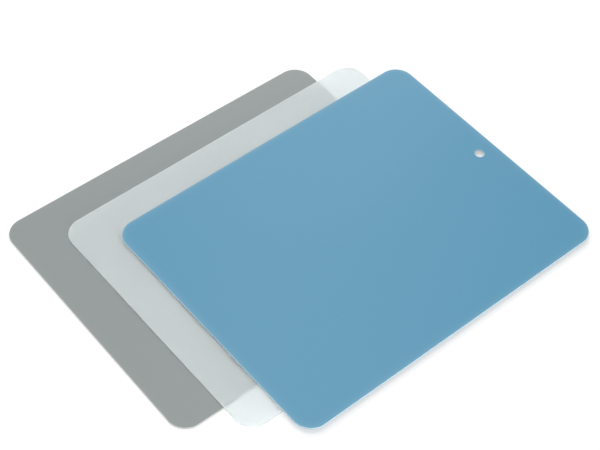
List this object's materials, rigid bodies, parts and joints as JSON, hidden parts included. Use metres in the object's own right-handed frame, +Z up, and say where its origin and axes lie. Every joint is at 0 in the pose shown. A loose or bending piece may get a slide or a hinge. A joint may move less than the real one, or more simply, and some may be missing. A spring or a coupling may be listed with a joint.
{
  "type": "flexible cutting mat set",
  "caption": "Fanned stack of thin flexible plastic cutting mats with round corners, a hanging hole near one short edge of each, in blue, frosted and grey.",
  "frame": {"origin": "on the worktop, under the middle of the whole fanned set", "axes": "+X along the mats' long side towards the end with the hanging holes, +Y along their short side towards the back, +Z up"},
  "size_m": [0.4372, 0.3472, 0.0049],
  "materials": {
    "grey_plastic": "satin polypropylene with a fine calendered grain",
    "frosted_plastic": "frosted translucent polypropylene",
    "blue_plastic": "satin polypropylene with a fine calendered grain"
  },
  "bodies": {
    "grey": {"grey_mat": "grey_plastic"},
    "frosted": {"frosted_mat": "frosted_plastic"},
    "blue": {"blue_mat": "blue_plastic"}
  },
  "joints": [
    {"name": "frosted_lift", "type": "slide", "parent": "grey", "child": "frosted", "axis": [0, 0, 1], "range_m": [0, 0.15]},
    {"name": "blue_lift", "type": "slide", "parent": "frosted", "child": "blue", "axis": [0, 0, 1], "range_m": [0, 0.15]}
  ]
}
